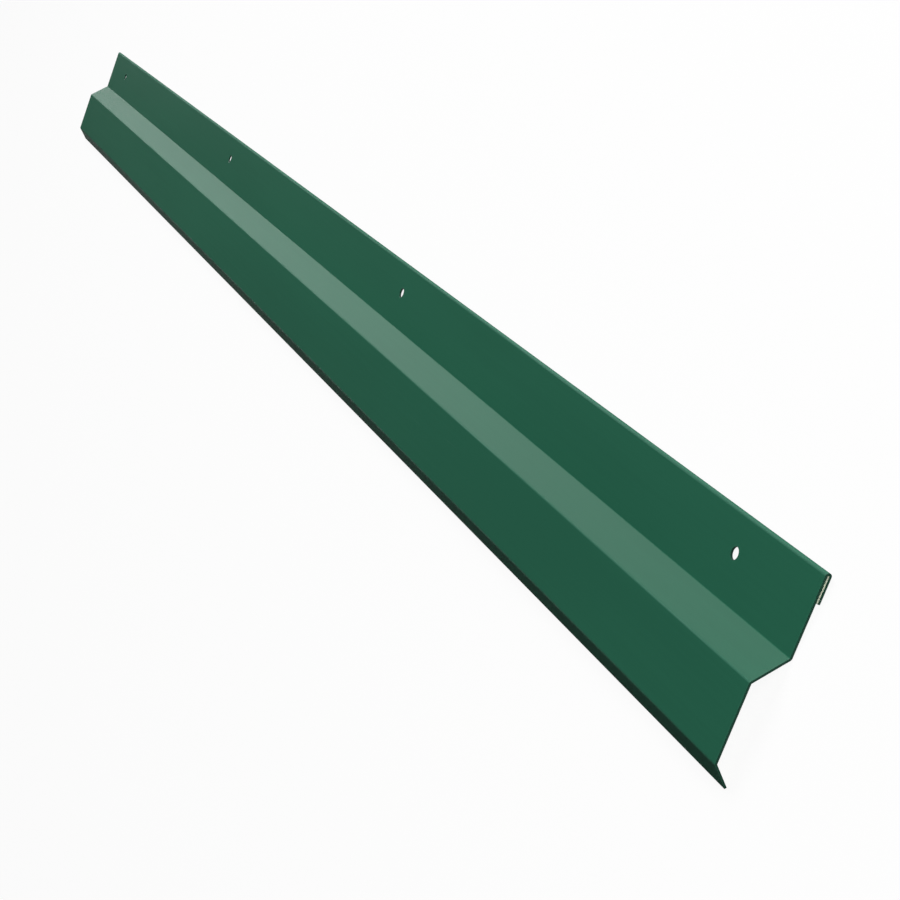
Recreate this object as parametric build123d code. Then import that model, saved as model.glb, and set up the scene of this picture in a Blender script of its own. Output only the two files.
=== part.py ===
"""Surface-mounted counter flashing: one strip of coated sheet, brake-formed into a stepped section.

From the top down, the strip has an open hem folded behind it, an upper leg with a row of fixing
holes, a sloping step that carries it out from the wall, a lower leg and an inward drip kick.
The model lies on its back, as the strip rests on a level floor: its length is along X, the hem is
towards +Y and the painted face looks up, along +Z.
"""

import os
from math import asin, atan2, cos, degrees, hypot, radians, sin

from build123d import *

# Driving dimensions, in millimetres and degrees.
# Legs are measured on the painted face, between the points where the flats would meet.
LENGTH = 2000.0
SHEET = 1.6
BEND_RADIUS = 1.0  # inside radius of the three open bends
UPPER_LEG = 51.5  # from the step to the top of the hem
STEP_WIDTH = 26.0
STEP_ANGLE = 45.0  # turn from the upper leg to the step, and back to the lower leg
LOWER_LEG = 50.5
KICK_WIDTH = 17.5
KICK_ANGLE = 45.0  # turn from the lower leg towards the wall
HEM_GAP = 1.1  # open space inside the hem
HEM_DEPTH = 18.5  # from the top of the hem to the free edge of its return
HOLE_DIAMETER = 8.0
HOLE_RISE = 28.0  # from the step to the row of holes
HOLE_COUNT = 4
HOLE_END_MARGIN = 87.5  # from each end of the strip to its nearest hole

# Radii of the painted face: the sheet lies inside the convex bends and outside the concave one.
concave_radius = BEND_RADIUS
convex_radius = BEND_RADIUS + SHEET
hem_radius = SHEET + HEM_GAP / 2


def ahead(start, turn, distance):
    """The point that distance beyond start, heading down the wall and turned outwards by turn degrees."""
    return start + Vector(-cos(radians(turn)), sin(radians(turn))) * distance


# Corners of the painted face in the wall's own axes, (up the wall, out from it).
step_root = Vector(0, 0)
step_nose = ahead(step_root, STEP_ANGLE, STEP_WIDTH)
kick_root = ahead(step_nose, 0, LOWER_LEG)
kick_tip = ahead(kick_root, -KICK_ANGLE, KICK_WIDTH)
hem_front = Vector(UPPER_LEG - hem_radius, 0)
hem_back = hem_front - Vector(0, 2 * hem_radius)
return_edge = Vector(UPPER_LEG - HEM_DEPTH, hem_back.Y)


def painted_face_line():
    """The painted face seen end on, from the free edge of the hem's return to the tip of the kick."""
    with BuildLine() as line:
        Line(return_edge, hem_back)
        JernArc(hem_back, (1, 0), hem_radius, 180)
        FilletPolyline(
            hem_front,
            step_root,
            step_nose,
            kick_root,
            kick_tip,
            radius=[concave_radius, convex_radius, convex_radius],
        )
    return line.wire()


def strip_section():
    """The section of the sheet: the painted face's line thickened towards the wall."""
    outline = painted_face_line().offset_2d(SHEET, side=Side.LEFT, closed=True)
    return Plane.YZ * make_face(outline)


def fixing_holes():
    """A row of round punches through the upper leg, evenly spaced between the two end margins."""
    pitch = (LENGTH - 2 * HOLE_END_MARGIN) / (HOLE_COUNT - 1)
    punch = Cylinder(HOLE_DIAMETER / 2, 2 * SHEET)
    row = GridLocations(pitch, 0, HOLE_COUNT, 1)
    return Pos(0, HOLE_RISE, -SHEET / 2) * row * punch


def resting_tilt():
    """The turn about X, in degrees, that sets the unheld strip down on a level floor.

    It stands on the inner corner of the kick's tip and on whichever lies lowest beyond that: the
    free edge of the hem's return, the hem's bend or the back of the bend above the step.
    """
    back_of_kick = Vector(sin(radians(KICK_ANGLE)), -cos(radians(KICK_ANGLE))) * SHEET
    foot = kick_tip + back_of_kick
    hem_centre = hem_front - Vector(0, hem_radius)
    setback = concave_radius / cos(radians(STEP_ANGLE / 2))
    bend_centre = step_root + ahead(Vector(0, 0), STEP_ANGLE / 2 + 90, 1) * setback
    round_feet = [(return_edge, 0), (hem_centre, hem_radius), (bend_centre, concave_radius + SHEET)]
    tilts = []
    for centre, radius in round_feet:
        reach = centre - foot
        tilts.append(atan2(-reach.Y, reach.X) + asin(radius / hypot(reach.X, reach.Y)))
    return degrees(max(tilts))


def build_flashing():
    """The finished strip, standing on the floor with its origin under the middle of its box."""
    strip = extrude(strip_section(), LENGTH / 2, both=True)
    strip -= fixing_holes()
    strip = Rot(X=resting_tilt()) * strip
    box = strip.bounding_box()
    return Pos(0, -box.center().Y, -box.min.Z) * strip


flashing = build_flashing()
os.makedirs("parts", exist_ok=True)
export_step(flashing, "parts/counter_flashing.step")
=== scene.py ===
"""A counter flashing of coated sheet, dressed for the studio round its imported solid.

The strip is one piece of sheet, so its visible form is worked out as sheet: a flat band with rounded
cut edges, carried through the bends of its section and along its length. Its painted side, its
backer side and its sheared edges have a finish each.
"""

import logging
from dataclasses import dataclass, field
from enum import Enum
from math import cos, pi, radians, sin, tan
from typing import Any, Mapping

import bmesh
import bpy
import numpy as np
from mathutils import Matrix, Vector

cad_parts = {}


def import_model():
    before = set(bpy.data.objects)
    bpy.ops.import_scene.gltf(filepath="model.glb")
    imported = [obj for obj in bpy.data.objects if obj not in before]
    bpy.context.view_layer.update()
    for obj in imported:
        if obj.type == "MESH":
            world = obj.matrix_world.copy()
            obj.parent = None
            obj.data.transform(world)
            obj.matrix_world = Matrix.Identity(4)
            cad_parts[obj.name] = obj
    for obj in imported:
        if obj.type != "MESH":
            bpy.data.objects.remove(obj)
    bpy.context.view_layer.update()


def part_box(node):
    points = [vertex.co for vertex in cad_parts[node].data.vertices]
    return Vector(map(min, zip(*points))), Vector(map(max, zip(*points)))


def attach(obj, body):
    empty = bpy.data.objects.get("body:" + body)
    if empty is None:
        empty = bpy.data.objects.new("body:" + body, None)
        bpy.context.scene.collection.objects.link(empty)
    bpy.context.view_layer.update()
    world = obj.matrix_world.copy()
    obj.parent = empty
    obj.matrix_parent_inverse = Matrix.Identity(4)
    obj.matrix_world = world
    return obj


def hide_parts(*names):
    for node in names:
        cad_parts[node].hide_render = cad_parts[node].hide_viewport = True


logger = logging.getLogger("counter_flashing")

MM = 0.001
SAME_PLACE = 1e-9
LEAST_CELLS = 2
NOISE_MEAN = 0.5
NODE = "counter_flashing"
BODY = "root"

Colour = tuple[float, float, float]
Triple = tuple[float, float, float]
Span = tuple[float, float]


class Side(Enum):
    """The three kinds of surface on a piece of coated sheet, in the order of its material slots."""

    PAINTED = 0
    BACKER = 1
    SHEARED = 2


# Shader maths


class Signal:
    """A number in a shader: arithmetic on it adds Math nodes to its material."""

    def __init__(self, bench: "ShaderBench", socket: bpy.types.NodeSocket) -> None:
        """Wraps an output socket.

        Args:
            bench: The bench whose material the socket belongs to.
            socket: The output that gives the number.
        """
        self.bench = bench
        self.socket = socket

    def _maths(self, operation: str, first: "Operand", second: "Operand") -> "Signal":
        """Adds one Math node.

        Args:
            operation: The node's operation.
            first: Its first operand.
            second: Its second operand.

        Returns:
            The node's result.
        """
        node = self.bench.node("ShaderNodeMath", {"operation": operation}, {0: first, 1: second})
        return Signal(self.bench, node.outputs[0])

    def __add__(self, other: "Operand") -> "Signal":
        """The sum."""
        return self._maths("ADD", self, other)

    def __radd__(self, other: "Operand") -> "Signal":
        """The sum, from the right."""
        return self._maths("ADD", other, self)

    def __sub__(self, other: "Operand") -> "Signal":
        """The difference."""
        return self._maths("SUBTRACT", self, other)

    def __rsub__(self, other: "Operand") -> "Signal":
        """The difference, from the right."""
        return self._maths("SUBTRACT", other, self)

    def __mul__(self, other: "Operand") -> "Signal":
        """The product."""
        return self._maths("MULTIPLY", self, other)

    def __rmul__(self, other: "Operand") -> "Signal":
        """The product, from the right."""
        return self._maths("MULTIPLY", other, self)

    def at_most(self, limit: "Operand") -> "Signal":
        """The smaller of this and the limit."""
        return self._maths("MINIMUM", self, limit)

    def at_least(self, limit: "Operand") -> "Signal":
        """The larger of this and the limit."""
        return self._maths("MAXIMUM", self, limit)


Operand = Signal | float


@dataclass(frozen=True)
class Grain:
    """A cloudy pattern over a surface, and the span of its values that shows as a mark.

    The cells are how many noise cells a metre holds along X, Y and Z. The layers are the finer ones
    that are added to them, and their share is how strong each is beside the one before.
    """

    cells: Triple
    layers: float = 2.0
    layer_share: float = 0.5
    span: Span = (0.0, 1.0)


class ShaderBench:
    """A material or world under construction, with one method that adds any node to it."""

    def __init__(self, tree: bpy.types.NodeTree) -> None:
        """Takes over a node tree and clears it.

        Args:
            tree: The node tree to fill.
        """
        self.tree = tree
        self.tree.nodes.clear()

    def node(
        self,
        kind: str,
        settings: Mapping[str, Any] | None = None,
        sockets: Mapping[str | int, Any] | None = None,
    ) -> bpy.types.Node:
        """Adds a node, sets it up and feeds its inputs.

        Args:
            kind: The node's type name.
            settings: Its own settings, set first.
            sockets: What each input gets: a Signal or an output socket to link, or a plain value.

        Returns:
            The new node.
        """
        made = self.tree.nodes.new(kind)
        for name, value in (settings or {}).items():
            setattr(made, name, value)
        for key, value in (sockets or {}).items():
            target = self._input(made, key)
            if isinstance(value, Signal):
                value = value.socket
            if isinstance(value, bpy.types.NodeSocket):
                self.tree.links.new(value, target)
            elif isinstance(value, tuple) and target.type == "RGBA":
                target.default_value = (*value, 1.0)
            else:
                target.default_value = value
        return made

    @staticmethod
    def _input(made: bpy.types.Node, key: str | int) -> bpy.types.NodeSocket:
        """Finds an input by its number, or by name among those in use.

        Args:
            made: The node.
            key: The input's place or its name.

        Returns:
            The input socket.
        """
        if isinstance(key, int):
            return made.inputs[key]
        return next(s for s in made.inputs if s.name == key and s.enabled)

    def number(self, made: bpy.types.Node, output: str | int = 0) -> Signal:
        """An output of a node, as a number to work with."""
        return Signal(self, made.outputs[output])

    def blend(self, share: Operand, start: Any, end: Any) -> bpy.types.NodeSocket:
        """Mixes two colours.

        Args:
            share: How much of the second colour there is, from 0 to 1.
            start: The first colour, or an output that gives it.
            end: The second colour, or an output that gives it.

        Returns:
            The output with the mixed colour.
        """
        settings = {"data_type": "RGBA", "clamp_factor": True}
        sockets = {"Factor": share, "A": start, "B": end}
        return self.node("ShaderNodeMix", settings, sockets).outputs["Result"]

    def attribute(self, name: str) -> Signal:
        """One of the piece's own attributes, as a number."""
        return self.number(self.node("ShaderNodeAttribute", {"attribute_name": name}), "Fac")

    def noise(self, grain: Grain) -> Signal:
        """Cloudy noise over the piece's own place in metres.

        Args:
            grain: The pattern.

        Returns:
            A number about the noise's mean, from about 0.2 to 0.8.
        """
        place = self.node("ShaderNodeTexCoord").outputs["Object"]
        mapped = self.node("ShaderNodeMapping", None, {"Vector": place, "Scale": grain.cells})
        sockets = {
            "Vector": mapped.outputs[0],
            "Scale": 1.0,
            "Detail": grain.layers,
            "Roughness": grain.layer_share,
        }
        return self.number(self.node("ShaderNodeTexNoise", None, sockets))

    def ramp(self, signal: Signal, span: Span) -> Signal:
        """A number carried from a span to 0..1 along a smooth step.

        Args:
            signal: The number.
            span: Where the result starts to rise from 0, and where it reaches 1.

        Returns:
            The share, from 0 to 1.
        """
        low, high = span
        made = self.node(
            "ShaderNodeMapRange",
            {"interpolation_type": "SMOOTHSTEP"},
            {"Value": signal, "From Min": low, "From Max": high},
        )
        return self.number(made)

    def marks(self, grain: Grain) -> Signal:
        """Where a pattern shows as a mark, from 0 to 1."""
        return self.ramp(self.noise(grain), grain.span)

    def worn_edge(self, reach: Span) -> Signal:
        """How near a cut edge is: 1 up to the first distance in metres, and 0 from the second on."""
        return 1.0 - self.ramp(self.attribute("edge_gap"), reach)

    def relief(self, height: Signal, depth: float, strength: float) -> bpy.types.NodeSocket:
        """A fine relief that tilts the shading.

        Args:
            height: The relief's height, from 0 to 1.
            depth: How deep it is from 0 to 1, in metres.
            strength: How much of it shows.

        Returns:
            The output with the tilted normal.
        """
        sockets = {"Strength": strength, "Distance": depth, "Height": height}
        return self.node("ShaderNodeBump", None, sockets).outputs[0]

    def finish_surface(self, sockets: Mapping[str | int, Any]) -> None:
        """Adds the surface shader and the output that ends a material.

        Args:
            sockets: What each input of the surface shader gets.
        """
        surface = self.node("ShaderNodeBsdfPrincipled", None, sockets)
        self.node("ShaderNodeOutputMaterial", None, {"Surface": surface.outputs[0]})


def new_material(name: str) -> tuple[bpy.types.Material, ShaderBench]:
    """Starts an empty material.

    Args:
        name: The material's name.

    Returns:
        The material and the bench that fills it.
    """
    material = bpy.data.materials.new(name)
    material.use_nodes = True
    return material, ShaderBench(material.node_tree)


# Finishes


@dataclass(frozen=True)
class PaintedCoat:
    """Moss green coil coating on the weather side: matt satin, with a fine peel and faint handling marks."""

    colour: Colour = (0.0170, 0.1025, 0.0600)
    # A lighter paint, used both for worn paint and for a painted highlight along the bends.
    chalk_and_highlight: Colour = (0.050, 0.150, 0.105)
    shaded: Colour = (0.0138, 0.0875, 0.0510)
    roughness: float = 0.60
    glaze: float = 0.03
    glaze_roughness: float = 0.34
    glaze_rubbed_off: float = 0.6
    cloud: Grain = Grain((2.2, 9.0, 9.0), layers=3.0)
    streak: Grain = Grain((5.0, 420.0, 420.0), span=(0.42, 0.62))
    peel: Grain = Grain((900.0, 900.0, 900.0))
    scuff: Grain = Grain((14.0, 260.0, 260.0), layers=3.0, layer_share=0.6, span=(0.66, 0.82))
    patch: Grain = Grain((3.0, 11.0, 11.0), span=(0.50, 0.72))
    shade_span: Span = (0.36, 0.66)
    shade_from_clouds: float = 0.75
    shade_depth: float = 0.55
    edge_reach: Span = (0.1 * MM, 1.6 * MM)
    # How the bends are lightened: partly worn paint, partly a painted highlight.
    least_rub_and_highlight: float = 0.55
    scuff_wear: float = 0.18
    edge_wear: float = 0.12
    bend_wear_and_highlight: float = 0.72
    cloud_gloss: float = 0.10
    peel_gloss: float = 0.06
    wear_gloss: float = 0.10
    peel_depth: float = 0.03 * MM
    peel_strength: float = 0.5

    def material(self) -> bpy.types.Material:
        """Builds the finish.

        The colour is the paint's, clouded a little darker along the rolling direction, and chalky and a
        little lighter along the cut edges and in faint scuffs. The bends are lightened further, partly as
        paint worn by handling and partly as a painted highlight for the light on their rounds. The worn
        bends have lost most of their glaze.

        Returns:
            The finished material.
        """
        made, bench = new_material("painted_coat")
        clouds = bench.noise(self.cloud)
        streaks = bench.noise(self.streak)
        grains = bench.noise(self.peel)
        shades = clouds * self.shade_from_clouds + streaks * (1.0 - self.shade_from_clouds)
        paint = bench.blend(bench.ramp(shades, self.shade_span) * self.shade_depth, self.colour, self.shaded)
        # Painted highlight along the bends, standing in for the light on their rounds, mixed with worn
        # paint, worn edges and scuffs.
        rubbed_and_highlit = bench.attribute("rubbed_and_highlit")
        rubs_and_highlights = rubbed_and_highlit * (self.least_rub_and_highlight + (1.0 - self.least_rub_and_highlight) * bench.ramp(streaks, self.streak.span))
        scuffs = bench.marks(self.scuff) * bench.marks(self.patch) * self.scuff_wear
        edges = bench.worn_edge(self.edge_reach) * self.edge_wear
        wear_and_highlight = (scuffs + edges + rubs_and_highlights * self.bend_wear_and_highlight).at_most(1.0)
        gloss = self.roughness + (clouds - NOISE_MEAN) * self.cloud_gloss
        gloss = gloss + (grains - NOISE_MEAN) * self.peel_gloss + wear_and_highlight * self.wear_gloss
        bench.finish_surface(
            {
                "Base Color": bench.blend(wear_and_highlight, paint, self.chalk_and_highlight),
                "Roughness": gloss,
                "Specular IOR Level": 0.0,
                "Coat Weight": self.glaze * (1.0 - self.glaze_rubbed_off * rubbed_and_highlit),
                "Coat Roughness": self.glaze_roughness,
                "Normal": bench.relief(grains, self.peel_depth, self.peel_strength),
            }
        )
        return made


@dataclass(frozen=True)
class BackerCoat:
    """Pale beige wash coat on the wall side: thin, matt and a little uneven from the roller."""

    colour: Colour = (0.780, 0.830, 0.700)
    thin: Colour = (0.690, 0.730, 0.615)
    soiled: Colour = (0.400, 0.395, 0.320)
    roughness: float = 0.58
    specular: float = 0.25
    streak: Grain = Grain((3.0, 300.0, 300.0), layers=3.0)
    cloud: Grain = Grain((4.0, 14.0, 14.0), layers=4.0)
    tooth: Grain = Grain((700.0, 700.0, 700.0))
    mark: Grain = Grain((9.0, 40.0, 40.0), layers=5.0, layer_share=0.62, span=(0.60, 0.80))
    thin_span: Span = (0.40, 0.68)
    thin_from_streaks: float = 0.6
    thin_depth: float = 0.6
    edge_reach: Span = (0.1 * MM, 2.0 * MM)
    mark_soil: float = 0.20
    edge_soil: float = 0.15
    streak_gloss: float = 0.12
    soil_gloss: float = 0.15
    relief_from_tooth: float = 0.6
    relief_depth: float = 0.02 * MM
    relief_strength: float = 0.30

    def material(self) -> bpy.types.Material:
        """Builds the finish.

        The colour runs in roller streaks along the strip between a full and a thin coat, and is
        soiled in patches and along the cut edges.

        Returns:
            The finished material.
        """
        made, bench = new_material("backer_coat")
        streaks = bench.noise(self.streak)
        thinness = streaks * self.thin_from_streaks
        thinness = thinness + bench.noise(self.cloud) * (1.0 - self.thin_from_streaks)
        wash = bench.blend(bench.ramp(thinness, self.thin_span) * self.thin_depth, self.colour, self.thin)
        soil = bench.marks(self.mark) * self.mark_soil + bench.worn_edge(self.edge_reach) * self.edge_soil
        soil = soil.at_most(1.0)
        height = bench.noise(self.tooth) * self.relief_from_tooth
        height = height + streaks * (1.0 - self.relief_from_tooth)
        gloss = self.roughness + (streaks - NOISE_MEAN) * self.streak_gloss + soil * self.soil_gloss
        bench.finish_surface(
            {
                "Base Color": bench.blend(soil, wash, self.soiled),
                "Roughness": gloss,
                "Specular IOR Level": self.specular,
                "Normal": bench.relief(height, self.relief_depth, self.relief_strength),
            }
        )
        return made


@dataclass(frozen=True)
class ShearedEdge:
    """The sheet's cut edges: the coat's green, darkened as painted shade, with the shear's fine striations.
    """

    # Painted shade: a green far darker than the coat's, so that the cut edges and hole walls render dark.
    colour: Colour = (0.0062, 0.0395, 0.0235)
    dark: Colour = (0.0036, 0.0198, 0.0120)
    roughness: float = 0.55
    specular: float = 0.1
    striation: Grain = Grain((650.0, 1400.0, 260.0))
    cloud: Grain = Grain((60.0, 60.0, 60.0))
    dark_span: Span = (0.35, 0.70)
    dark_from_striations: float = 0.7
    dark_depth: float = 0.6
    striation_gloss: float = 0.2
    relief_depth: float = 0.02 * MM
    relief_strength: float = 0.4

    def material(self) -> bpy.types.Material:
        """Builds the finish.

        The colour goes from the coat's green, darkened as painted shade, to a darker one in fine striations
        across the edge.

        Returns:
            The finished material.
        """
        made, bench = new_material("sheared_edge")
        striations = bench.noise(self.striation)
        darkness = striations * self.dark_from_striations
        darkness = darkness + bench.noise(self.cloud) * (1.0 - self.dark_from_striations)
        share = bench.ramp(darkness, self.dark_span) * self.dark_depth
        bench.finish_surface(
            {
                "Base Color": bench.blend(share, self.colour, self.dark),
                "Roughness": self.roughness + (striations - NOISE_MEAN) * self.striation_gloss,
                "Specular IOR Level": self.specular,
                "Normal": bench.relief(striations, self.relief_depth, self.relief_strength),
            }
        )
        return made


# The strip's form


def turned(vector: np.ndarray, angles: np.ndarray) -> np.ndarray:
    """A plane vector turned by each of some angles.

    Args:
        vector: The vector, as two numbers.
        angles: The angles in radians, counter-clockwise.

    Returns:
        One turned vector a row.
    """
    across, up = vector
    c, s = np.cos(angles), np.sin(angles)
    return np.stack([c * across - s * up, s * across + c * up], axis=-1)


def turned_rows(points: np.ndarray, angle: float) -> np.ndarray:
    """Plane points, all turned by one angle in radians about the origin."""
    c, s = cos(angle), sin(angle)
    return points @ np.array([[c, s], [-s, c]])


@dataclass(frozen=True)
class SheetLine:
    """The painted face seen end on: samples along the sheet in the wall's axes, (up it, out from it)."""

    place: np.ndarray
    heading: np.ndarray
    # How far the paint is worn at each sample, and how strongly a painted highlight lightens it.
    rubbed_and_highlit: np.ndarray
    run: np.ndarray

    @property
    def normal(self) -> np.ndarray:
        """Which way the painted face looks at each sample: the heading turned right."""
        return np.stack([self.heading[:, 1], -self.heading[:, 0]], axis=-1)

    def inside(self, along: np.ndarray, depth: np.ndarray, index: np.ndarray) -> np.ndarray:
        """Points of the sheet: a sample, moved along the sheet and then down into it.

        Args:
            along: How far each point is moved along the sheet.
            depth: How deep each point lies under the painted face.
            index: The sample that each point starts from.

        Returns:
            The points, in the wall's axes.
        """
        forward = along[..., None] * self.heading[index]
        return self.place[index] + forward - depth[..., None] * self.normal[index]


@dataclass(frozen=True)
class StripSection:
    """Sizes of the bent section, in metres and degrees. Legs are measured between sharp corners.

    The nose, where the step turns into the lower leg, is folded sharper than the other bends, and its
    radius is the painted face's. Each bend also has a value, from the hem to the kick's tip, for how far
    handling has worn its paint and how strongly a painted highlight lightens it.
    """

    sheet: float = 1.6 * MM
    bend_radius: float = 1.0 * MM
    nose_radius: float = 1.75 * MM
    upper_leg: float = 51.5 * MM
    step_width: float = 26.0 * MM
    step_angle: float = 45.0
    lower_leg: float = 50.5 * MM
    kick_width: float = 17.5 * MM
    kick_angle: float = 45.0
    hem_gap: float = 1.1 * MM
    hem_depth: float = 18.5 * MM
    # How far each bend's paint is worn and how strongly a painted highlight lightens it.
    rubbed_and_highlit: tuple[float, ...] = (1.0, 0.0, 1.0, 0.1, 0.0)
    bend_steps: int = 10
    hem_steps: int = 32
    flat_guards: tuple[float, ...] = (0.0, 0.3 * MM, 1.0 * MM, 3.0 * MM)
    flat_pitch: float = 9.0 * MM

    def flat_stops(self, length: float) -> np.ndarray:
        """Where a flat is sampled: close together beside its bends and evenly between them."""
        guards = np.array(self.flat_guards)
        between = np.linspace(0, length, max(LEAST_CELLS, round(length / self.flat_pitch)) + 1)[1:-1]
        between = between[(between > guards[-1]) & (between < length - guards[-1])]
        return np.concatenate([guards, between, (length - guards)[::-1]])

    def face_line(self, hole_lines: np.ndarray) -> SheetLine:
        """Follows the painted face from the hem's free edge to the tip of the kick.

        It runs straight along each flat and turns through a circular arc at each bend. The arc's
        radius is the bend's own where the painted face lies inside it, and a sheet's thickness more
        where it lies outside, apart from the nose's. A bend takes its radius times the tangent of
        half its turn off both flats beside it.

        Args:
            hole_lines: Heights above the step at which the upper leg has to be sampled.

        Returns:
            The samples along the line.
        """
        outside = self.bend_radius + self.sheet
        hem_radius = self.sheet + self.hem_gap / 2
        root = self.bend_radius * tan(radians(self.step_angle / 2))
        nose = self.nose_radius * tan(radians(self.step_angle / 2))
        brow = outside * tan(radians(self.kick_angle / 2))
        top = self.upper_leg - hem_radius
        upper = np.array(self.flat_guards)
        upper = np.concatenate([upper, np.sort(top - hole_lines), (top - root - upper)[::-1]])
        stops = [
            self.flat_stops(self.hem_depth - hem_radius),
            upper,
            self.flat_stops(self.step_width - root - nose),
            self.flat_stops(self.lower_leg - nose - brow),
            self.flat_stops(self.kick_width - brow),
        ]
        turns = [pi, -radians(self.step_angle), radians(self.step_angle), radians(self.kick_angle), 0.0]
        radii = [hem_radius, self.bend_radius, self.nose_radius, outside, outside]
        steps = [self.hem_steps, *[self.bend_steps] * 3, 1]
        pen = np.array([self.upper_leg - self.hem_depth, -2 * hem_radius])
        heading = np.array([1.0, 0.0])
        places, headings, rubs_and_highlights = [], [], []
        for flat, turn, radius, count, rub_and_highlight in zip(stops, turns, radii, steps, self.rubbed_and_highlit):
            places.append(pen + flat[:, None] * heading)
            headings.append(np.tile(heading, (len(flat), 1)))
            rubs_and_highlights.append(np.zeros(len(flat)))
            pen = places[-1][-1]
            angles = np.linspace(0, turn, count + 1)[1:]
            centre = pen + turned(heading, np.array([pi / 2]))[0] * np.sign(turn) * radius
            places.append((centre + turned(pen - centre, angles))[:-1])
            headings.append(turned(heading, angles)[:-1])
            # Each bend's samples carry its worn paint and its painted highlight.
            rubs_and_highlights.append(np.full(count - 1, rub_and_highlight))
            pen = centre + turned(pen - centre, angles)[-1]
            heading = turned(heading, angles)[-1]
        place = np.concatenate(places)
        spans = np.linalg.norm(np.diff(place, axis=0), axis=1)
        run = np.concatenate([[0.0], np.cumsum(spans)])
        return SheetLine(place, np.concatenate(headings), np.concatenate(rubs_and_highlights), run)


@dataclass(frozen=True)
class FixingHoles:
    """The row of round punched holes in the upper leg, and the square patch of sheet round each.

    The patch's loops are given as shares of the way from the rim out to the square.
    """

    diameter: float = 8.0 * MM
    rise: float = 28.0 * MM
    count: int = 4
    end_margin: float = 87.5 * MM
    patch: float = 8.0 * MM
    patch_loops: tuple[float, ...] = (0.7, 0.42, 0.2, 0.07)
    side_cells: int = 12
    rim_round: float = 0.08 * MM
    rim_steps: int = 3

    @property
    def spread(self) -> np.ndarray:
        """Grid lines across a patch: its half width times the tangents of even angles to 45 degrees."""
        return self.patch * np.tan(np.linspace(-pi / 4, pi / 4, self.side_cells + 1))

    def centres(self, length: float) -> np.ndarray:
        """Where the holes are along the strip, from its middle."""
        reach = length / 2 - self.end_margin
        return np.linspace(-reach, reach, self.count)

    def profile(self, sheet: float) -> tuple[np.ndarray, np.ndarray, np.ndarray]:
        """A hole's wall from the painted face's patch to the backer's, as rows of a grid.

        A row is a loop round the hole. It lies a share of the way from the circle at the rim to the
        patch's square, or on a circle of its own radius, at its own depth in the sheet. The rim is
        rounded over by a quarter circle on both faces.

        Args:
            sheet: The sheet's thickness.

        Returns:
            The share of the square, the circle's radius and the depth, one number a row.
        """
        shares = np.array(self.patch_loops)
        quarter = np.linspace(0, pi / 2, self.rim_steps + 1)
        radius = self.diameter / 2
        rim = radius + self.rim_round * (1 - np.sin(quarter))
        sunk = self.rim_round * (1 - np.cos(quarter))
        square = np.concatenate([shares, 0 * rim, 0 * rim, shares[::-1]])
        rings = np.concatenate([0 * shares + rim[0], rim, rim[::-1], 0 * shares + rim[0]])
        depths = np.concatenate([0 * shares, sunk, sheet - sunk[::-1], 0 * shares + sheet])
        return square, rings, depths


def around(grid: np.ndarray) -> np.ndarray:
    """The border of a grid as one loop, from its first corner along the first axis."""
    return np.concatenate([grid[:-1, 0], grid[-1, :-1], grid[:0:-1, -1], grid[0, :0:-1]])


@dataclass
class SheetMesh:
    """Points and faces of a piece, gathered as whole arrays."""

    points: list[np.ndarray] = field(default_factory=list)
    gaps: list[np.ndarray] = field(default_factory=list)
    rubs_and_highlights: list[np.ndarray] = field(default_factory=list)
    faces: list[list[int]] = field(default_factory=list)
    sides: list[np.ndarray] = field(default_factory=list)
    smooth: list[np.ndarray] = field(default_factory=list)

    def add_points(self, points: np.ndarray, gap: np.ndarray, rub_and_highlight: np.ndarray) -> np.ndarray:
        """Adds points.

        Args:
            points: The points, in the row's frame.
            gap: How far each is from the nearest cut edge.
            rub_and_highlight: How far the paint is worn by handling at each, and how strongly a painted
                highlight lightens it, from 0 to 1.

        Returns:
            The points' numbers, in the shape that they came in.
        """
        start = sum(len(p) for p in self.points)
        self.points.append(points.reshape(-1, 3))
        self.gaps.append(gap.ravel())
        self.rubs_and_highlights.append(np.broadcast_to(rub_and_highlight, gap.shape).ravel())
        return start + np.arange(gap.size).reshape(gap.shape)

    def add_quads(self, quads: np.ndarray, sides: np.ndarray, smooth: bool = True) -> None:
        """Adds four-sided faces.

        Args:
            quads: Point numbers, four to a face.
            sides: Each face's kind of surface.
            smooth: Whether they are shaded as one round surface.
        """
        self.faces.extend(quads.reshape(-1, 4).tolist())
        self.sides.append(np.asarray(sides).ravel())
        self.smooth.append(np.full(self.sides[-1].size, smooth))

    def add_polygon(self, corners: np.ndarray) -> None:
        """Adds one flat sheared face with any number of corners."""
        self.faces.append(corners.tolist())
        self.sides.append(np.array([Side.SHEARED.value]))
        self.smooth.append(np.array([False]))

    def to_object(self, name: str) -> bpy.types.Object:
        """Makes the mesh's object, at the origin.

        Args:
            name: The object's name.

        Returns:
            The object, linked to the scene.
        """
        data = bpy.data.meshes.new(name)
        data.from_pydata(np.concatenate(self.points).tolist(), [], self.faces)
        data.polygons.foreach_set("material_index", np.concatenate(self.sides).astype(np.int32))
        data.polygons.foreach_set("use_smooth", np.concatenate(self.smooth))
        # Attributes for the shader: the distance to the cut edges, and each bend's worn paint and painted
        # highlight.
        for label, values in (("edge_gap", self.gaps), ("rubbed_and_highlit", self.rubs_and_highlights)):
            attribute = data.attributes.new(label, "FLOAT", "POINT")
            attribute.data.foreach_set("value", np.concatenate(values).astype(np.float32))
        shell = bmesh.new()
        shell.from_mesh(data)
        bmesh.ops.recalc_face_normals(shell, faces=shell.faces)
        shell.to_mesh(data)
        shell.free()
        made = bpy.data.objects.new(name, data)
        bpy.context.scene.collection.objects.link(made)
        return made


@dataclass(frozen=True)
class SheetRing:
    """A loop round the sheet's thickness: where each point starts on the line and how it is rounded."""

    index: np.ndarray
    along: np.ndarray
    depth: np.ndarray
    out_along: np.ndarray
    out_depth: np.ndarray


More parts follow.
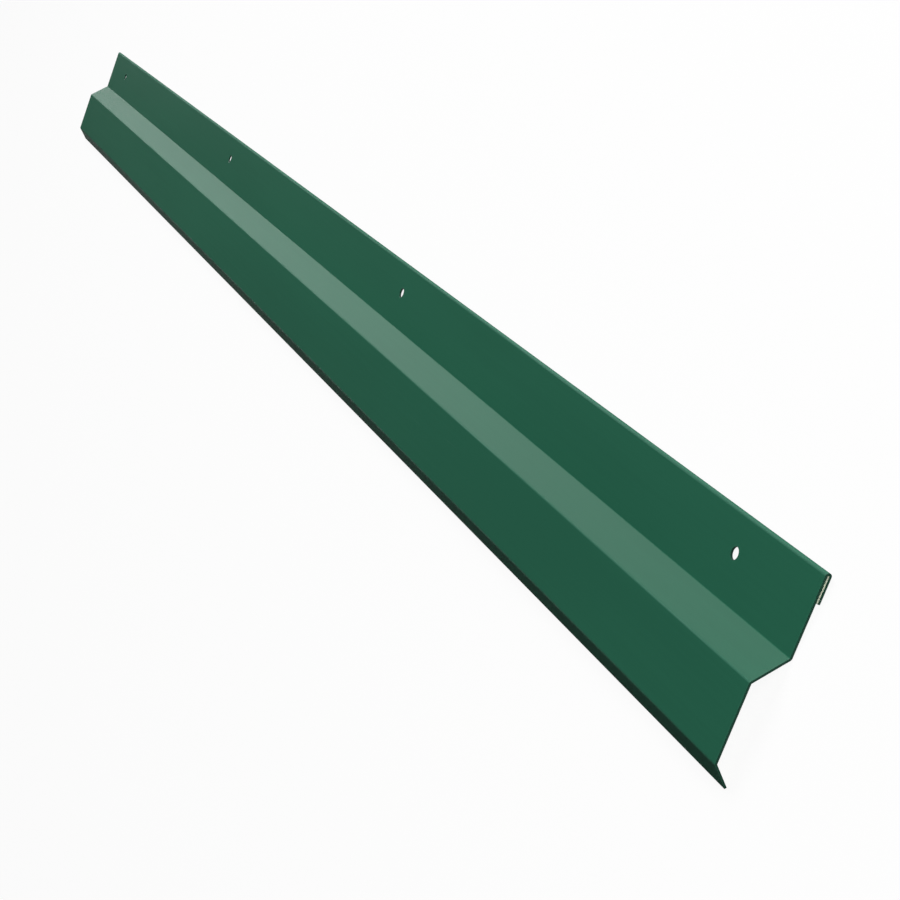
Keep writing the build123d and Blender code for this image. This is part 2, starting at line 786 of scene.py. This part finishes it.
@dataclass
class FlashingStrip:
    """The whole strip: its section carried along its length, pierced by its holes."""

    section: StripSection = field(default_factory=StripSection)
    holes: FixingHoles = field(default_factory=FixingHoles)
    length: float = 2000.0 * MM
    edge_round: float = 0.25 * MM
    end_round: float = 0.2 * MM
    round_steps: int = 4
    station_pitch: float = 30.0 * MM
    end_guards: tuple[float, ...] = (0.3 * MM, 1.0 * MM, 3.0 * MM, 8.0 * MM)

    def __post_init__(self) -> None:
        """Samples the section and finds how the strip rests on the floor."""
        self.line = self.section.face_line(self.holes.rise + self.holes.spread)
        back = self.line.place - self.section.sheet * self.line.normal
        outline = np.concatenate([self.line.place, back])
        self.tilt = self.resting_tilt(outline, back[-1])
        low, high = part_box(NODE)
        lying = turned_rows(outline, self.tilt)
        self.shift = np.array(
            [
                (low.y + high.y - lying[:, 0].min() - lying[:, 0].max()) / 2,
                low.z - lying[:, 1].min(),
            ]
        )

    @staticmethod
    def resting_tilt(outline: np.ndarray, foot: np.ndarray) -> float:
        """How far the strip leans as it lies on its back.

        It stands on the inner corner of the kick's tip. The lean is the steepest fall from there to
        any point of the outline more than a millimetre ahead, which turns that point to the floor.

        Args:
            outline: Points of the section, in the wall's axes.
            foot: The inner corner of the kick's tip.

        Returns:
            The turn about X, in radians.
        """
        reach = outline - foot
        ahead = reach[:, 0] > MM
        return float(np.max(np.arctan2(-reach[ahead, 1], reach[ahead, 0])))

    def in_row(self, along: np.ndarray, section: np.ndarray) -> np.ndarray:
        """Points of the strip in the row's frame.

        Args:
            along: Each point's place along the strip.
            section: Each point's place in the wall's axes.

        Returns:
            The points, as X, Y and Z.
        """
        lying = turned_rows(section, self.tilt) + self.shift
        along = np.broadcast_to(along, lying.shape[:-1])
        return np.concatenate([along[..., None], lying], axis=-1)

    def direction(self, to_far_end: float, out: float, up: float) -> Vector:
        """A direction given along the strip, out from the wall and up it, in the row's frame."""
        lying = turned_rows(np.array([[up, out]]), self.tilt)[0]
        return Vector((-to_far_end, float(lying[0]), float(lying[1])))

    def stations(self) -> tuple[np.ndarray, np.ndarray]:
        """Where the section is placed along the strip, and how far it is drawn in at each place.

        The places are the grid lines of the hole patches, even steps between them, and a quarter
        circle at both ends, along which the section is drawn in as the sheet's edge rounds over.

        Returns:
            The places along X, and the draw at each.
        """
        centres = self.holes.centres(self.length)
        half = self.length / 2
        lines = (centres[:, None] + self.holes.spread).ravel()
        starts = np.concatenate([[-half], centres + self.holes.patch])
        ends = np.concatenate([centres - self.holes.patch, [half]])
        counts = np.maximum(LEAST_CELLS, np.round((ends - starts) / self.station_pitch)).astype(int)
        between = [np.linspace(a, b, n + 1)[1:-1] for a, b, n in zip(starts, ends, counts)]
        guards = half - self.end_round - np.array(self.end_guards)
        inner = np.sort(np.concatenate([lines, *between, guards, -guards]))
        angles = np.linspace(0, pi / 2, self.round_steps + 1)
        tip = half - self.end_round * (1 - np.sin(angles))
        draw = self.end_round * (1 - np.cos(angles))
        places = np.concatenate([-tip[::-1], inner, tip])
        return places, np.concatenate([draw[::-1], 0 * inner, draw])

    def ring(self) -> SheetRing:
        """The loop round the sheet: a long rectangle, run by thickness, with rounded corners.

        It goes along the painted face, round the kick's tip, back along the backer's face and round
        the hem's free edge. A corner's points lie on a quarter circle.

        Returns:
            The loop.
        """
        count = len(self.line.run)
        r, t = self.edge_round, self.section.sheet
        angles = np.linspace(0, pi / 2, self.round_steps + 1)[1:]
        c, s = np.cos(angles), np.sin(angles)
        face = np.arange(count)
        draw_in = np.zeros(count)
        draw_in[0], draw_in[-1] = r, -r
        first, last = np.zeros(len(angles), int), np.full(len(angles), count - 1)
        flat, ones = np.zeros(count), np.ones(count)
        return SheetRing(
            index=np.concatenate([face, last, last, face[::-1], first, first]),
            along=np.concatenate(
                [draw_in, r * (s - 1), r * (s[::-1] - 1), draw_in[::-1], r * (1 - s), r * (1 - s[::-1])]
            ),
            depth=np.concatenate(
                [
                    flat,
                    r * (1 - c),
                    t - r * (1 - c[::-1]),
                    flat + t,
                    t - r * (1 - c),
                    r * (1 - c[::-1]),
                ]
            ),
            out_along=np.concatenate([flat, s, s[::-1], flat, -s, -s[::-1]]),
            out_depth=np.concatenate([-ones, -c, c[::-1], ones, c, -c[::-1]]),
        )

    def band(self) -> SheetMesh:
        """The bent sheet before its holes are filled in.

        A point is a function of its station along the strip and its place on the ring: the ring's
        point, drawn in along its own outward direction by the station's draw, then carried through
        the bends of the section. Both ends are closed across the sheet's thickness.

        Returns:
            The mesh, left open round each hole.
        """
        places, draws = self.stations()
        ring = self.ring()
        along = ring.along - draws[:, None] * ring.out_along
        depth = ring.depth - draws[:, None] * ring.out_depth
        index = np.broadcast_to(ring.index, along.shape)
        section = self.line.inside(along, depth, index)
        points = self.in_row(places[:, None], section)
        number = np.arange(points.shape[0] * points.shape[1]).reshape(points.shape[:2])
        run = self.line.run[index] + along
        gap = np.minimum(run, self.line.run[-1] - run)
        gap = np.minimum(gap, self.length / 2 - np.abs(places)[:, None])
        gap = np.minimum(gap, self.rim_gap(places[:, None], section))
        mesh = SheetMesh()
        mesh.add_points(points, gap, self.line.rubbed_and_highlit[index])
        beside = np.roll(number, -1, axis=1)
        quads = np.stack([number[:-1], beside[:-1], beside[1:], number[1:]], axis=-1)
        sides = np.broadcast_to(self.ring_sides(ring), quads.shape[:2]).copy()
        sides[(draws[1:] > 0) | (draws[:-1] > 0)] = Side.SHEARED.value
        keep = ~self.hole_cells(places, ring)
        mesh.add_quads(quads[keep], sides[keep])
        for row in (number[0], number[-1]):
            self.close_end(mesh, row)
        for centre in self.holes.centres(self.length):
            self.pierce(mesh, number, places, float(centre))
        return mesh

    def rim_gap(self, places: np.ndarray, section: np.ndarray) -> np.ndarray:
        """How far points of the sheet are from the nearest hole's rim, by their place on the leg."""
        across = places[..., None] - self.holes.centres(self.length)
        up = section[..., 0, None] - self.holes.rise
        return np.hypot(across, up).min(axis=-1) - self.holes.diameter / 2

    def ring_sides(self, ring: SheetRing) -> np.ndarray:
        """Which kind of surface follows each point of the ring."""
        count = len(self.line.run)
        corner = 2 * self.round_steps
        sides = np.full(len(ring.index), Side.SHEARED.value)
        sides[: count - 1] = Side.PAINTED.value
        sides[count + corner : 2 * count + corner - 1] = Side.BACKER.value
        return sides

    def backs(self) -> np.ndarray:
        """The ring's point on the backer's face behind each sample of the line."""
        count = len(self.line.run)
        return 2 * count + 2 * self.round_steps - 1 - np.arange(count)

    def hole_lines(self) -> tuple[int, int]:
        """The samples of the line at the upper and lower side of the hole patches."""
        upright = np.abs(self.line.place[:, 1]) < SAME_PLACE
        rise = self.line.place[:, 0] - self.holes.rise
        found = np.flatnonzero(upright & (np.abs(rise) <= self.holes.patch + SAME_PLACE))
        return int(found[0]), int(found[-1])

    def hole_cells(self, places: np.ndarray, ring: SheetRing) -> np.ndarray:
        """Which cells of the band lie in a hole's patch, on either face of the sheet."""
        upper, lower = self.hole_lines()
        middle = (places[1:] + places[:-1]) / 2
        off = np.abs(middle[:, None] - self.holes.centres(self.length)).min(axis=1)
        cell = np.arange(len(ring.index))
        backs = self.backs()
        face = (cell >= upper) & (cell < lower)
        back = (cell >= backs[lower]) & (cell < backs[upper])
        return (off < self.holes.patch)[:, None] & (face | back)

    def close_end(self, mesh: SheetMesh, row: np.ndarray) -> None:
        """Closes one end of the strip.

        Args:
            mesh: The mesh to add to.
            row: The end ring's point numbers.
        """
        count = len(self.line.run)
        corner = 2 * self.round_steps
        face, back = row[:count], row[self.backs()]
        mesh.add_quads(
            np.stack([face[:-1], face[1:], back[1:], back[:-1]], axis=-1),
            np.full(count - 1, Side.SHEARED.value),
            smooth=False,
        )
        mesh.add_polygon(row[count - 1 : count + corner + 1])
        mesh.add_polygon(np.append(row[2 * count + corner - 1 :], row[0]))

    def pierce(self, mesh: SheetMesh, number: np.ndarray, places: np.ndarray, centre: float) -> None:
        """Adds one hole: loops from the patch on the painted face, through the sheet, to the other.

        A point is a function of its direction round the hole and its row in the hole's profile. Its
        direction is that of a grid point on the patch's square, so that the loops at both ends are
        the band's own points.

        Args:
            mesh: The mesh to add to.
            number: The band's point numbers, by station and place on the ring.
            places: The band's stations along the strip.
            centre: Where the hole is along the strip.
        """
        upper, lower = self.hole_lines()
        lines = np.arange(upper, lower + 1)
        columns = np.flatnonzero(np.abs(places - centre) <= self.holes.patch + SAME_PLACE)
        across, up = np.meshgrid(
            places[columns] - centre, self.line.place[lines, 0] - self.holes.rise, indexing="ij"
        )
        square = np.stack([around(across), around(up)], axis=-1)
        spokes = square / np.linalg.norm(square, axis=-1, keepdims=True)
        share, radius, depth = self.holes.profile(self.section.sheet)
        share, radius = share[:, None, None], radius[:, None, None]
        loops = share * square + (1 - share) * radius * spokes
        section = np.stack(
            [self.holes.rise + loops[..., 1], np.broadcast_to(-depth[:, None], loops.shape[:2])],
            axis=-1,
        )
        points = self.in_row(centre + loops[..., 0], section)
        gap = np.linalg.norm(loops, axis=-1) - self.holes.diameter / 2
        fresh = mesh.add_points(points, np.maximum(gap, 0.0), np.zeros(gap.shape))
        front = around(number[np.ix_(columns, lines)])
        back = around(number[np.ix_(columns, self.backs()[lines])])
        rows = np.concatenate([front[None], fresh, back[None]])
        beside = np.roll(rows, -1, axis=1)
        quads = np.stack([rows[:-1], beside[:-1], beside[1:], rows[1:]], axis=-1)
        flat = np.flatnonzero(share.ravel() > 0)
        inner = len(flat) // 2
        sides = np.full(len(quads), Side.SHEARED.value)
        sides[: inner + 1] = Side.PAINTED.value
        sides[-inner - 1 :] = Side.BACKER.value
        mesh.add_quads(quads, np.broadcast_to(sides[:, None], quads.shape[:2]))

    def build(self) -> bpy.types.Object:
        """Makes the strip's object and puts it on its body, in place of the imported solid.

        Returns:
            The strip.
        """
        strip = self.band().to_object("flashing_strip")
        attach(strip, BODY)
        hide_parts(NODE)
        return strip

    def dress(self, strip: bpy.types.Object) -> None:
        """Gives the strip its finishes, in the order of the sides.

        Args:
            strip: The strip's object.
        """
        finishes = {
            Side.PAINTED: PaintedCoat(),
            Side.BACKER: BackerCoat(),
            Side.SHEARED: ShearedEdge(),
        }
        for side in Side:
            strip.data.materials.append(finishes[side].material())


# The studio


@dataclass(frozen=True)
class PhotoCamera:
    """The photograph's viewpoint, in lengths and directions of the strip: to its far end, out and up."""

    eye: Triple = (-0.42720, 0.32017, 0.12415)
    forward: Triple = (0.88618, -0.42045, -0.19469)
    up: Triple = (0.31729, 0.24446, 0.91628)
    focal_pixels: float = 1985.57
    frame_pixels: float = 900.0
    sensor_mm: float = 36.0
    clip: Span = (0.01, 100.0)

    def place(self, strip: FlashingStrip) -> bpy.types.Object:
        """Makes the camera and hands it to the scene.

        The eye is measured from the painted corner where the upper leg meets the step, at the near
        end of the strip, which is its end at the high side of X.

        Args:
            strip: The strip it looks at.

        Returns:
            The camera.
        """
        data = bpy.data.cameras.new("photo_camera")
        data.sensor_width = self.sensor_mm
        data.lens = self.focal_pixels / self.frame_pixels * self.sensor_mm
        data.clip_start, data.clip_end = self.clip
        camera = bpy.data.objects.new("photo_camera", data)
        bpy.context.scene.collection.objects.link(camera)
        corner = Vector(strip.in_row(np.array([strip.length / 2]), np.zeros((1, 2)))[0])
        back = -strip.direction(*self.forward).normalized()
        right = strip.direction(*self.up).cross(back).normalized()
        up = back.cross(right)
        turn = Matrix((right, up, back)).transposed().to_4x4()
        eye = corner + strip.direction(*self.eye) * strip.length
        camera.matrix_world = Matrix.Translation(eye) @ turn
        bpy.context.scene.camera = camera
        return camera


@dataclass(frozen=True)
class SoftPanel:
    """A rectangular soft light that faces a point of the set."""

    name: str
    place: Triple
    aim: Triple
    width: float
    height: float
    radiance: float

    def light(self) -> bpy.types.Object:
        """Makes the lamp. Its power is its radiance times its area times pi.

        Returns:
            The lamp.
        """
        data = bpy.data.lights.new(self.name, "AREA")
        data.shape = "RECTANGLE"
        data.size, data.size_y = self.width, self.height
        data.energy = self.radiance * self.width * self.height * pi
        lamp = bpy.data.objects.new(self.name, data)
        bpy.context.scene.collection.objects.link(lamp)
        lamp.location = self.place
        away = Vector(self.aim) - Vector(self.place)
        lamp.rotation_euler = away.to_track_quat("-Z", "Y").to_euler()
        return lamp


@dataclass(frozen=True)
class SheenCard(SoftPanel):
    """A soft light that only shows as sheen: glossy surfaces reflect it and matt ones stay unlit."""

    def light(self) -> bpy.types.Object:
        """Makes the lamp, and keeps it off matt surfaces.

        Returns:
            The lamp.
        """
        lamp = super().light()
        lamp.visible_diffuse = False
        return lamp


@dataclass(frozen=True)
class Studio:
    """A pale floor that runs out to white, two soft lights and three cards.

    The key light hangs over the hem's side, and a smaller one fills the near end. The cards stand
    beyond the far end and only show as sheen: the far one in the step, the low one in the kick and
    the end one in the two legs.
    """

    floor_size: float = 24.0
    floor_drop: float = 0.1 * MM
    floor_colour: Colour = (0.80, 0.80, 0.80)
    white: Colour = (1.0, 1.0, 1.0)
    paper_white: float = 0.92
    surround: float = 0.93
    ambient: float = 0.04
    panels: tuple[SoftPanel, ...] = (
        SoftPanel("key_panel", (-0.45, 2.20, 2.32), (0.0, 0.0, 0.0), width=2.9, height=1.6, radiance=8.3),
        SoftPanel("near_panel", (2.8, 1.25, 1.20), (1.0, 0.0, 0.0), width=1.4, height=1.2, radiance=11.0),
        SheenCard("far_card", (-3.05, 2.22, 0.80), (0.15, 0.82, 0.0), width=4.9, height=1.6, radiance=29.0),
        SheenCard("low_card", (-3.2, -1.9, 0.3), (-0.6, 0.0, 0.0), width=2.2, height=0.5, radiance=18.0),
        SheenCard("end_card", (-3.7, -0.3, 0.55), (-0.8, 0.0, 0.0), width=1.3, height=0.6, radiance=2.3),
    )

    @staticmethod
    def seen(bench: ShaderBench) -> Signal:
        """1 for rays that show a surface to the eye, straight, mirrored or through glass."""
        path = bench.node("ShaderNodeLightPath")
        mirrored = bench.number(path, "Is Glossy Ray")
        through = bench.number(path, "Is Transmission Ray")
        return bench.number(path, "Is Camera Ray").at_least(mirrored).at_least(through)

    def lay_floor(self) -> bpy.types.Object:
        """Lays the floor: plain matt card that shows mostly white and keeps a soft shadow.

        Returns:
            The floor.
        """
        half = self.floor_size / 2
        corners = np.array([[-half, -half], [half, -half], [half, half], [-half, half]])
        level = np.full((4, 1), -self.floor_drop)
        data = bpy.data.meshes.new("floor")
        data.from_pydata(np.hstack([corners, level]).tolist(), [], [[0, 1, 2, 3]])
        floor = bpy.data.objects.new("floor", data)
        bpy.context.scene.collection.objects.link(floor)
        made, bench = new_material("floor_card")
        card = bench.node("ShaderNodeBsdfDiffuse", None, {"Color": self.floor_colour})
        white = bench.node("ShaderNodeEmission", None, {"Color": self.white, "Strength": 1.0})
        shown = bench.node(
            "ShaderNodeMixShader",
            None,
            {0: self.seen(bench) * self.paper_white, 1: card.outputs[0], 2: white.outputs[0]},
        )
        bench.node("ShaderNodeOutputMaterial", None, {"Surface": shown.outputs[0]})
        data.materials.append(made)
        return floor

    def hang_backdrop(self) -> None:
        """Makes the surroundings: white to the eye, and a dim even fill to the strip."""
        world = bpy.data.worlds.new("studio_white")
        world.use_nodes = True
        bench = ShaderBench(world.node_tree)
        level = self.seen(bench) * (self.surround - self.ambient) + self.ambient
        glow = bench.node("ShaderNodeBackground", None, {"Color": self.white, "Strength": level})
        bench.node("ShaderNodeOutputWorld", None, {"Surface": glow.outputs[0]})
        bpy.context.scene.world = world

    def set_up(self) -> None:
        """Builds the floor, the surroundings and the lights."""
        self.lay_floor()
        self.hang_backdrop()
        for panel in self.panels:
            panel.light()
        bpy.context.scene.view_settings.view_transform = "Standard"


def main() -> None:
    """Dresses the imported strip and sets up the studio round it."""
    logging.basicConfig(level=logging.INFO, format="%(name)s: %(message)s")
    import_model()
    strip = FlashingStrip()
    piece = strip.build()
    strip.dress(piece)
    logger.info("%s: %d faces, lying at %.3f rad", piece.name, len(piece.data.polygons), strip.tilt)
    Studio().set_up()
    camera = PhotoCamera().place(strip)
    logger.info("%s: lens %.2f mm", camera.name, camera.data.lens)


if __name__ == "__main__":
    main()
